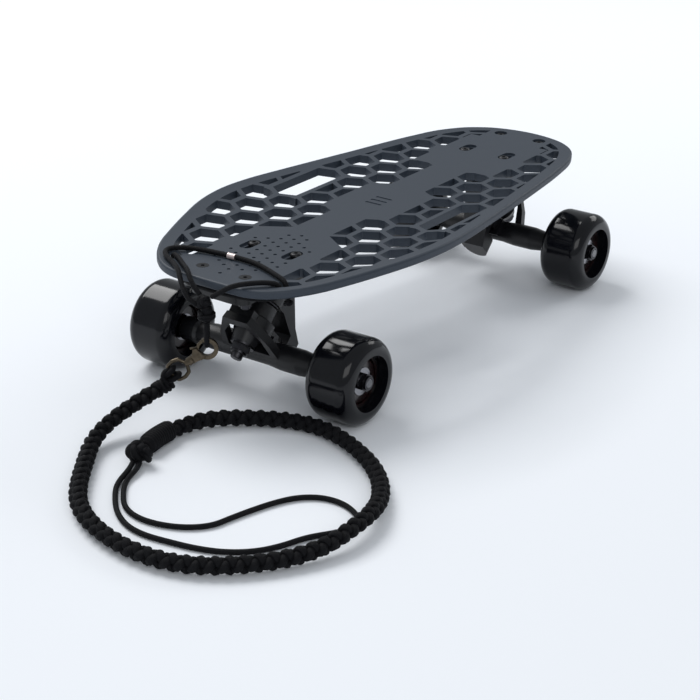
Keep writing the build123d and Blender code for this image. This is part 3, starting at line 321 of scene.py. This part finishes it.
# %% Wear: a mask from 0 to 1
wear, ins, outs = new_group(
    "wear", [("Place", "Vector", None), ("Size", "Float", 24.0), ("Amount", "Float", 0.5)],
    [("Mask", "Float")],
)
STREAK_SCALE = (70.0, 900.0, 300.0)      # long along X, narrow across
CLOUD_SHARE = 0.7
cloud = node_of(wear, "ShaderNodeTexNoise",
                {"Vector": ins["Place"], "Scale": ins["Size"], "Detail": 5.0, "Roughness": 0.62})
stretched = node_of(wear, "ShaderNodeVectorMath", {0: ins["Place"], 1: STREAK_SCALE},
                    operation="MULTIPLY")
streaks = node_of(wear, "ShaderNodeTexNoise",
                  {"Vector": stretched.outputs[0], "Scale": 1.0, "Detail": 2.0})
rubbed = ramped(wear, cloud.outputs[0], 0.47, 0.72)
lines = ramped(wear, streaks.outputs[0], 0.63, 0.72)
together = maths(wear, "ADD", maths(wear, "MULTIPLY", rubbed, CLOUD_SHARE),
                 maths(wear, "MULTIPLY", lines, 1 - CLOUD_SHARE))
wear.links.new(maths(wear, "MULTIPLY", together, ins["Amount"]), outs["Mask"])
print("group:", wear.name)

# %% [markdown]
# The sheath of a cord is plaited from many fine yarns that cross at a slant. On the cord's own map
# they are two sets of slanted waves. Where one set is up the other is down, so the weave is the
# larger of the two in each small diamond. The yarn size is in metres, the same on every cord.

# %% Weave: a normal, a height and a fuzz
weave, ins, outs = new_group(
    "weave", [("Yarn", "Float", 0.0011), ("Depth", "Float", 0.0002)],
    [("Normal", "Vector"), ("Height", "Float"), ("Fuzz", "Float")],
)
YARN_SLANT = 0.8                         # metres round for each metre along
HAIRS = (900.0, 900.0, 900.0)            # fuzz clumps to the metre
on_cord = node_of(weave, "ShaderNodeUVMap", uv_map="cord_map").outputs[0]
parts = node_of(weave, "ShaderNodeSeparateXYZ", {0: on_cord}).outputs
turns = maths(weave, "DIVIDE", 2 * math.pi, ins["Yarn"])
round_it = maths(weave, "MULTIPLY", parts[1], YARN_SLANT)
up = maths(weave, "MULTIPLY", maths(weave, "ADD", parts[0], round_it), turns)
down = maths(weave, "MULTIPLY", maths(weave, "SUBTRACT", parts[0], round_it), turns)
crossing = maths(weave, "MULTIPLY", maths(weave, "SINE", up), maths(weave, "SINE", down))
height = ramped(weave, crossing, -0.9, 0.9)
scaled = node_of(weave, "ShaderNodeVectorMath", {0: on_cord, 1: HAIRS}, operation="MULTIPLY")
hairs = node_of(weave, "ShaderNodeTexNoise",
                {"Vector": scaled.outputs[0], "Scale": 1.0, "Detail": 3.0})
relief = maths(weave, "ADD", maths(weave, "MULTIPLY", height, 0.8),
               maths(weave, "MULTIPLY", hairs.outputs[0], 0.35))
bump = node_of(weave, "ShaderNodeBump",
               {"Strength": 1.0, "Distance": ins["Depth"], "Height": relief})
weave.links.new(bump.outputs[0], outs["Normal"])
weave.links.new(height, outs["Height"])
weave.links.new(hairs.outputs[0], outs["Fuzz"])
print("group:", weave.name)

# %% [markdown]
# ## One finish for hard things, one for cords
#
# Hard materials differ by colour, how metallic and how rough they are, the size of their grain, and
# how their worn places look. Cords are painted darker in the gaps of the weave and lighter on the
# yarn tops, which is painted shade, and they are paler in random clumps of fuzz.

# %% Hard and woven finishes
def hard(name, colour, rough, metal=0.0, size=900.0, depth=0.00003, worn=None, wear_amount=0.5,
         wear_size=24.0, worn_rough=0.1, specular=0.5, coat=0.0, coat_rough=0.1):
    """Base colour and roughness, shifted by the grain's value and the wear's mask."""
    material = bpy.data.materials.new(name)
    material.use_nodes = True
    tree = material.node_tree
    shader = next(n for n in tree.nodes if n.type == "BSDF_PRINCIPLED")
    place = node_of(tree, "ShaderNodeTexCoord").outputs["Object"]
    skin = node_of(tree, "ShaderNodeGroup", node_tree=grain)
    rubbing = node_of(tree, "ShaderNodeGroup", node_tree=wear)
    for used, values in ((skin, {"Size": size, "Depth": depth}),
                         (rubbing, {"Size": wear_size, "Amount": wear_amount})):
        tree.links.new(place, used.inputs["Place"])
        for key, value in values.items():
            used.inputs[key].default_value = value
    base = (*colour, 1.0)
    shade = ramped(tree, skin.outputs["Value"], 0.3, 0.7, 0.88, 1.1)
    grey = node_of(tree, "ShaderNodeCombineColor", {0: shade, 1: shade, 2: shade}).outputs[0]
    tinted = mixed(tree, 1.0, base, grey, "MULTIPLY")
    final = mixed(tree, rubbing.outputs["Mask"], tinted, (*(worn or colour), 1.0))
    tree.links.new(final, shader.inputs["Base Color"])
    added = maths(tree, "MULTIPLY", rubbing.outputs["Mask"], worn_rough)
    rougher = maths(tree, "ADD", rough, added)
    tree.links.new(rougher, shader.inputs["Roughness"])
    tree.links.new(skin.outputs["Normal"], shader.inputs["Normal"])
    shader.inputs["Metallic"].default_value = metal
    shader.inputs["Specular IOR Level"].default_value = specular
    shader.inputs["Coat Weight"].default_value = coat
    shader.inputs["Coat Roughness"].default_value = coat_rough
    return material


def woven(name, low, high, yarn=0.0011, depth=0.00022, rough=0.62, sheen=0.0):
    """Low colour in the gaps as painted shade, high on the yarns, paler where the fuzz is thick."""
    material = bpy.data.materials.new(name)
    material.use_nodes = True
    tree = material.node_tree
    shader = next(n for n in tree.nodes if n.type == "BSDF_PRINCIPLED")
    sheath = node_of(tree, "ShaderNodeGroup", node_tree=weave)
    sheath.inputs["Yarn"].default_value = yarn
    sheath.inputs["Depth"].default_value = depth
    # painted shade: the weave's gaps take the darker colour and the yarn tops the lighter one
    colour = mixed(tree, sheath.outputs["Height"], (*low, 1.0), (*high, 1.0))
    pale = (*[1.5 * c for c in high], 1.0)
    gap_shade_and_fuzz = mixed(tree, ramped(tree, sheath.outputs["Fuzz"], 0.5, 0.75, 0.0, 0.35), colour, pale)
    tree.links.new(gap_shade_and_fuzz, shader.inputs["Base Color"])
    tree.links.new(sheath.outputs["Normal"], shader.inputs["Normal"])
    shader.inputs["Roughness"].default_value = rough
    shader.inputs["Sheen Weight"].default_value = sheen
    shader.inputs["Sheen Roughness"].default_value = 0.45
    shader.inputs["Specular IOR Level"].default_value = 0.14
    return material

# %% [markdown]
# ## The materials, by the record's slots

# %% The list of finishes
looks = {
    "deck_plastic": hard(
        "deck_plastic", (0.030, 0.040, 0.056), 0.52, size=1500, depth=0.00004,
        worn=(0.038, 0.049, 0.066), wear_amount=0.30, wear_size=14, specular=0.40),
    "bolt_steel": hard(
        "bolt_steel", (0.010, 0.010, 0.012), 0.34, metal=0.6, size=1200, depth=0.00001,
        worn=(0.06, 0.06, 0.06), wear_amount=0.35, wear_size=320),
    "riser_rubber": hard(
        "riser_rubber", (0.006, 0.006, 0.007), 0.72, size=1600, depth=0.00004, wear_amount=0.3,
        worn=(0.04, 0.04, 0.04)),
    "truck_metal": hard(
        "truck_metal", (0.0055, 0.0058, 0.0072), 0.38, size=1300, depth=0.00003,
        worn=(0.018, 0.018, 0.021), wear_amount=0.3, wear_size=60, specular=0.45),
    "cup_urethane": hard(
        "cup_urethane", (0.010, 0.010, 0.012), 0.45, size=900, wear_amount=0.2),
    "bushing_urethane": hard(
        "bushing_urethane", (0.008, 0.008, 0.010), 0.36, size=700, wear_amount=0.2),
    "axle_steel": hard(
        "axle_steel", (0.16, 0.16, 0.17), 0.26, metal=1.0, size=1500, depth=0.00001,
        worn=(0.34, 0.33, 0.32), wear_amount=0.4, wear_size=200),
    "dark_steel": hard(
        "dark_steel", (0.055, 0.055, 0.062), 0.34, metal=1.0, size=1500, depth=0.00001,
        worn=(0.11, 0.105, 0.10), wear_amount=0.5, wear_size=260),
    "bearing_steel": hard(
        "bearing_steel", (0.30, 0.30, 0.32), 0.14, metal=1.0, size=1500, depth=0.000004,
        worn=(0.42, 0.42, 0.42), wear_amount=0.3, wear_size=200),
    "tyre_urethane": hard(
        "tyre_urethane", (0.0028, 0.0031, 0.0048), 0.12, size=1100, depth=0.000006,
        worn=(0.010, 0.011, 0.014), wear_amount=0.40, wear_size=38, worn_rough=0.16, specular=0.32),
    "core_plastic": hard(
        "core_plastic", (0.0085, 0.0022, 0.0026), 0.18, size=700, depth=0.000006,
        wear_amount=0.2, worn=(0.014, 0.005, 0.005), coat=0.3),
    "snap_metal": hard(
        "snap_metal", (0.120, 0.098, 0.070), 0.30, metal=1.0, size=900, depth=0.00002,
        worn=(0.035, 0.029, 0.023), wear_amount=0.8, wear_size=170, worn_rough=0.15),
    "crimp_metal": hard(
        "crimp_metal", (0.78, 0.66, 0.64), 0.34, metal=0.4, size=1200, depth=0.00001,
        wear_amount=0.3, worn=(0.5, 0.42, 0.4), wear_size=300),
    # for the cords the first colour is the painted shade in the weave's gaps, the second the yarn
    # tops
    "cord_nylon": woven(
        "cord_nylon", (0.0012, 0.0012, 0.0016), (0.0075, 0.0078, 0.0100), yarn=0.0010,
        depth=0.00016),
    "braid_cord": woven(
        "braid_cord", (0.0008, 0.0008, 0.0012), (0.0060, 0.0062, 0.0084), yarn=0.0012,
        depth=0.00022),
}
for part in frame["record"]["subparts"]:
    target = nodes[part["node"]]
    target.data.materials.clear()
    target.data.materials.append(looks[part["material_slot"]])
print("materials:", len(looks))

# %% [markdown]
# ## The plaited tether
#
# Four strands make a round plait. Two wind to the right and two to the left. Seen from the end,
# strand k sits at the angle a_k(s) = +-2 pi s / L + phase, at the distance r0 +- a cos(4 pi s / L)
# from the middle. Where a right strand crosses a left one the cosine is +1 or -1 in turn, so each
# strand goes over one and under the next.

# %% The plait
LAY = 0.019              # one full turn of a strand
MIDDLE, SWING = 0.0030, 0.0018
FLAT, WIDE = 0.0022, 0.0029
STRAND_GIRTH = 0.0165
TIP_START, TIP_REACH = 0.0015, 0.0070


def plait_parts(line, sides=14):
    """S(s, v) = P(s) + r e(s) + FLAT cos(v) e' + WIDE sin(v) c, with e the strand's way out from
    the middle, c = T x e across it and e' = c x T. At both ends r and the section shrink."""
    s = lengths_along(line)
    t = tangents(line)
    level = np.cross(t, (0.0, 0.0, 1.0))
    level /= np.linalg.norm(level, axis=1, keepdims=True)
    upward = np.cross(level, t)
    close = rounded((np.minimum(s, s[-1] - s) + TIP_START) / TIP_REACH, 0.02)
    full = 0.35 + 0.65 * close
    v = np.linspace(0, 2 * np.pi, sides, endpoint=False)
    parts = []
    for hand in (1, -1):
        for phase in (0.0, np.pi):
            angle = hand * 2 * np.pi * s / LAY + phase
            r = (MIDDLE + hand * SWING * np.cos(4 * np.pi * s / LAY)) * close
            out = np.cos(angle)[:, None] * level + np.sin(angle)[:, None] * upward
            strand = line + r[:, None] * out
            along = tangents(strand)
            across = np.cross(along, out)
            across /= np.linalg.norm(across, axis=1, keepdims=True)
            rise = np.cross(across, along)
            ring = (FLAT * np.cos(v)[None, :, None] * rise[:, None, :]
                    + WIDE * np.sin(v)[None, :, None] * across[:, None, :])
            surface = strand[:, None, :] + ring * full[:, None, None]
            parts.append((surface, lengths_along(strand), STRAND_GIRTH))
    return parts


tether = mesh_piece("tether_plait", plait_parts(braid_line), looks["braid_cord"])
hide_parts("braid")
print("tether faces:", len(tether.data.polygons))

# %% [markdown]
# ## Knots
#
# A tight knot is a short closed path that passes through its own middle several times. The torus
# knot (p, q) does that: the path goes p times round a ring and q times through it. A second knot,
# turned and slightly smaller, fills the gaps as crossing cord does.

# %% Torus knots
def circular(middle, axis, turn, angle, out, lift):
    """P = M + out (cos angle X + sin angle Y) + lift Z. Z is the axis, and X is turned about it."""
    z = Vector(axis).normalized()
    x = z.orthogonal().normalized()
    x.rotate(Matrix.Rotation(turn, 3, z))
    x, y, z = np.array(x), np.array(z.cross(x)), np.array(z)
    across = (out * np.cos(angle))[:, None] * x + (out * np.sin(angle))[:, None] * y
    return np.array(middle) + across + lift[:, None] * z


def knot_part(middle, axis, ring, swing, radius, p=2, q=3, turn=0.0, sides=12, count=170,
              squash=1.0):
    """K(t) = M + (R + r cos qt)(cos pt X + sin pt Y) + squash r sin qt Z, for t from 0 to 2 pi."""
    t = np.linspace(0, 2 * np.pi, count)
    path = circular(middle, axis, turn, p * t, ring + swing * np.cos(q * t),
                    squash * swing * np.sin(q * t))
    return tube_part(path, radius, sides, ends=False)


def unit(v):
    """v / |v|."""
    v = np.array(v, float)
    return v / np.linalg.norm(v)

# %% [markdown]
# The tether's tail is bound with thread: a tube whose radius rises and falls once a turn of the
# thread. Then comes the knot that ends it.

# %% Whipping and end knot
whip_line = even(spline_line("whipping line", WHIP_ROUTE), 0.00018)
whipping = mesh_piece("tail_whipping",
                      [tube_part(whip_line, 0.0072, 28, ridge=0.00085, pitch=0.0027)],
                      looks["cord_nylon"])
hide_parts("whipping")

KNOT_AT = np.array([-0.3325, -0.0096, 0.0098])
LEAVES = unit((-0.85, -0.527, 0.0))
BESIDE = np.array([-LEAVES[1], LEAVES[0], 0.0])
end_knot = mesh_piece("tail_knot", [
    knot_part(KNOT_AT, LEAVES, 0.0042, 0.0022, 0.0029, p=2, q=5, squash=1.2),
    knot_part(KNOT_AT + 0.0012 * LEAVES, BESIDE + 0.4 * LEAVES, 0.0040, 0.0019, 0.0028, turn=0.7),
    knot_part(KNOT_AT + [0.0030, 0.0050, 0.0000], (0.2, 0.4, 1.0),
              0.0030, 0.0014, 0.0024, turn=0.3),
    knot_part(KNOT_AT + [0.0022, -0.0055, -0.0010], (0.9, -0.2, 0.3),
              0.0032, 0.0014, 0.0026, turn=1.3),
], looks["cord_nylon"])
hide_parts("end_knot")
print("knot faces:", len(end_knot.data.polygons))

# %% [markdown]
# At its other end the tether turns round the bar of the snap's ring. The turns are three closed
# hoops about the bar, and a few windings of thread bind the neck behind them.

# %% The head of the tether
THROUGH = unit((0.82, 0.572, 0.0))
LEVEL = unit((-0.572, 0.82, 0.0))
TILT = math.radians(38.8)
ALONG = LEVEL * math.cos(TILT) - np.array([0.0, 0.0, 1.0]) * math.sin(TILT)
ASIDE = np.cross(THROUGH, ALONG)
CLAW = np.array([-0.2495, -0.0080, 0.0631])
BAR = CLAW + 0.0346 * ALONG
START = np.array(BRAID_ROUTE[0])
HEAD = unit(np.array(BRAID_ROUTE[1]) - START)


def hoop_part(middle, axis, ring, radius, tilt, sides=12, count=60):
    """C(t) = M + R (cos t X + sin t Y) + tilt R sin t Z, a closed ring of cord about an axis."""
    t = np.linspace(0, 2 * np.pi, count)
    path = circular(middle, axis, 0.0, t, np.full(count, ring), tilt * ring * np.sin(t))
    return tube_part(path, radius, sides, ends=False)


def winding_part(start, axis, ring, radius, turns, pitch, sides=10):
    """H(t) = M + R (cos t X + sin t Y) + pitch t / 2 pi Z, a thread wound about an axis."""
    t = np.linspace(0, 2 * np.pi * turns, int(36 * turns))
    path = circular(start, axis, 0.0, t, np.full(len(t), ring), pitch * t / (2 * np.pi))
    return tube_part(path, radius, sides)


neck = START - 0.0052 * HEAD
head = mesh_piece("tether_head", [
    hoop_part(BAR - 0.0030 * ASIDE, ASIDE, 0.0042, 0.0022, tilt=0.12),
    hoop_part(BAR + 0.0030 * ASIDE, ASIDE, 0.0042, 0.0022, tilt=-0.12),
    hoop_part(BAR + 0.0030 * HEAD, np.cross(HEAD, ASIDE), 0.0045, 0.0021, tilt=0.25),
    winding_part(neck - 0.0012 * HEAD, HEAD, 0.0046, 0.0018, 2.6, 0.0032),
    tube_part(even(np.array([neck - 0.0030 * HEAD, START + 0.004 * HEAD]), 0.0005), 0.0048, 16),
], looks["braid_cord"])
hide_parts("braid_head")

# %% [markdown]
# ## The thin cords
#
# The wrist loop lies on the floor and passes under the tether. Two bands are tied through the
# tail's holes, and a short loop carries the snap.

# %% Wrist loop, bands and snap loop
def thin_cord(name, route, replaced):
    """A 4 mm cord on its route, measured, and the CAD part it replaces is hidden."""
    line = even(softened(spline_line(name + " line", route), 2), 0.0008)
    made = mesh_piece(name, [tube_part(line, 0.0020, 12)], looks["cord_nylon"])
    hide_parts(replaced)


stopper = mesh_piece("band_stopper", [
    knot_part((-0.2114, -0.0556, 0.0995), (0.1, 0.2, 1.0), 0.0018, 0.0009, 0.0013,
              sides=10, count=90),
], looks["cord_nylon"])
thin_cord("wrist_cord", WRIST_ROUTE, "wrist_loop")
thin_cord("rear_tail_band", REAR_BAND, "rear_band")
thin_cord("top_tail_band", TOP_BAND, "top_band")
thin_cord("snap_sling", SNAP_LOOP, "snap_loop")

# %% [markdown]
# The knot at the tail ties the bands and the snap's loop together: a large knot on the edge of the
# tail, a smaller one over it, and a wound collar round the two legs of the loop.

# %% Lashing at the tail
LASHING = np.array([-0.2500, -0.0060, 0.1005])
UP = (0.0, 0.0, 1.0)
COLLAR = np.array([[CLAW[0], CLAW[1], 0.0868], [CLAW[0], CLAW[1], 0.0978]])
lashing = mesh_piece("tail_lashing", [
    knot_part(LASHING, (1.0, 0.2, 0.3), 0.0027, 0.0014, 0.0021, p=2, q=5, squash=1.3),
    knot_part(LASHING, (0.1, 1.0, 0.2), 0.0025, 0.0013, 0.0020, turn=0.9),
    knot_part(LASHING + [0.0005, 0.0030, -0.0035], (0.6, 0.3, 1.0),
              0.0020, 0.0010, 0.0018, turn=0.4),
    winding_part((CLAW[0], CLAW[1], 0.0877), UP, 0.0056, 0.00135, 2.4, 0.0021),
    tube_part(even(COLLAR, 0.0004), 0.0046, 18),
    knot_part((CLAW[0], CLAW[1], 0.0950), UP, 0.0020, 0.0011, 0.0015, turn=0.2, squash=1.6),
], looks["cord_nylon"])
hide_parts("lashing_knot")
print("lashing faces:", len(lashing.data.polygons))

# %% [markdown]
# ## Floor, light and camera
#
# The floor is a pale seamless sheet. A broad soft light stands behind the board on the left, a wide
# weak one fills from the camera's side, and the surrounding air gives the rest.

# %% Floor
floor_data = bpy.data.meshes.new("floor")
REACH, FLOOR_Z = 9.0, -0.0002
corners = [(x * REACH, y * REACH, FLOOR_Z) for x, y in ((-1, -1), (1, -1), (1, 1), (-1, 1))]
floor_data.from_pydata(corners, [], [(0, 1, 2, 3)])
floor = bpy.data.objects.new("floor", floor_data)
bpy.context.collection.objects.link(floor)
paper = bpy.data.materials.new("paper")
paper.use_nodes = True
sheet = next(n for n in paper.node_tree.nodes if n.type == "BSDF_PRINCIPLED")
sheet.inputs["Base Color"].default_value = (0.90, 0.925, 0.965, 1.0)
sheet.inputs["Roughness"].default_value = 0.9
sheet.inputs["Specular IOR Level"].default_value = 0.05
floor_data.materials.append(paper)

# %% Lights
def area_light(name, place, target, width, height, power):
    """A rectangular lamp at a place, facing a target."""
    data = bpy.data.lights.new(name, "AREA")
    data.shape = "RECTANGLE"
    data.size, data.size_y, data.energy = width, height, power
    lamp = bpy.data.objects.new(name, data)
    bpy.context.collection.objects.link(lamp)
    facing = (Vector(target) - Vector(place)).to_track_quat("-Z", "Y")
    lamp.matrix_world = Matrix.Translation(Vector(place)) @ facing.to_matrix().to_4x4()
    return lamp


area_light("key", (0.30, 2.00, 2.70), (-0.02, 0.0, 0.05), 2.2, 1.7, 74.0)
area_light("fill", (-1.70, -1.60, 1.50), (-0.05, -0.03, 0.05), 1.8, 1.2, 14.0)
area_light("rim", (1.70, -0.30, 1.10), (0.0, 0.0, 0.08), 1.2, 0.6, 6.0)
bpy.context.scene.view_settings.view_transform = "Standard"
world = bpy.data.worlds.new("room")
bpy.context.scene.world = world
world.use_nodes = True
air = next(n for n in world.node_tree.nodes if n.type == "BACKGROUND")
air.inputs["Color"].default_value = (0.90, 0.95, 1.0, 1.0)
air.inputs["Strength"].default_value = 0.42

# %% [markdown]
# The camera stands where the photo was taken from: behind the tail on the right, looking down at
# the board through a long lens.

# %% Camera
camera_data = bpy.data.cameras.new("photo view")
camera_data.sensor_fit = "HORIZONTAL"
camera_data.sensor_width, camera_data.lens = 36.0, 95.23
camera_data.clip_end = 60.0
camera = bpy.data.objects.new("photo view", camera_data)
bpy.context.collection.objects.link(camera)
right = Vector((0.57898197, -0.81519544, 0.01537108))
upward = Vector((0.31757074, 0.24283389, 0.91661362))
back = Vector((-0.75095186, -0.52582135, 0.39947866))
camera.matrix_world = Matrix((
    (right.x, upward.x, back.x, -1.2354),
    (right.y, upward.y, back.y, -0.82975),
    (right.z, upward.z, back.z, 0.62105),
    (0.0, 0.0, 0.0, 1.0),
))
bpy.context.scene.camera = camera
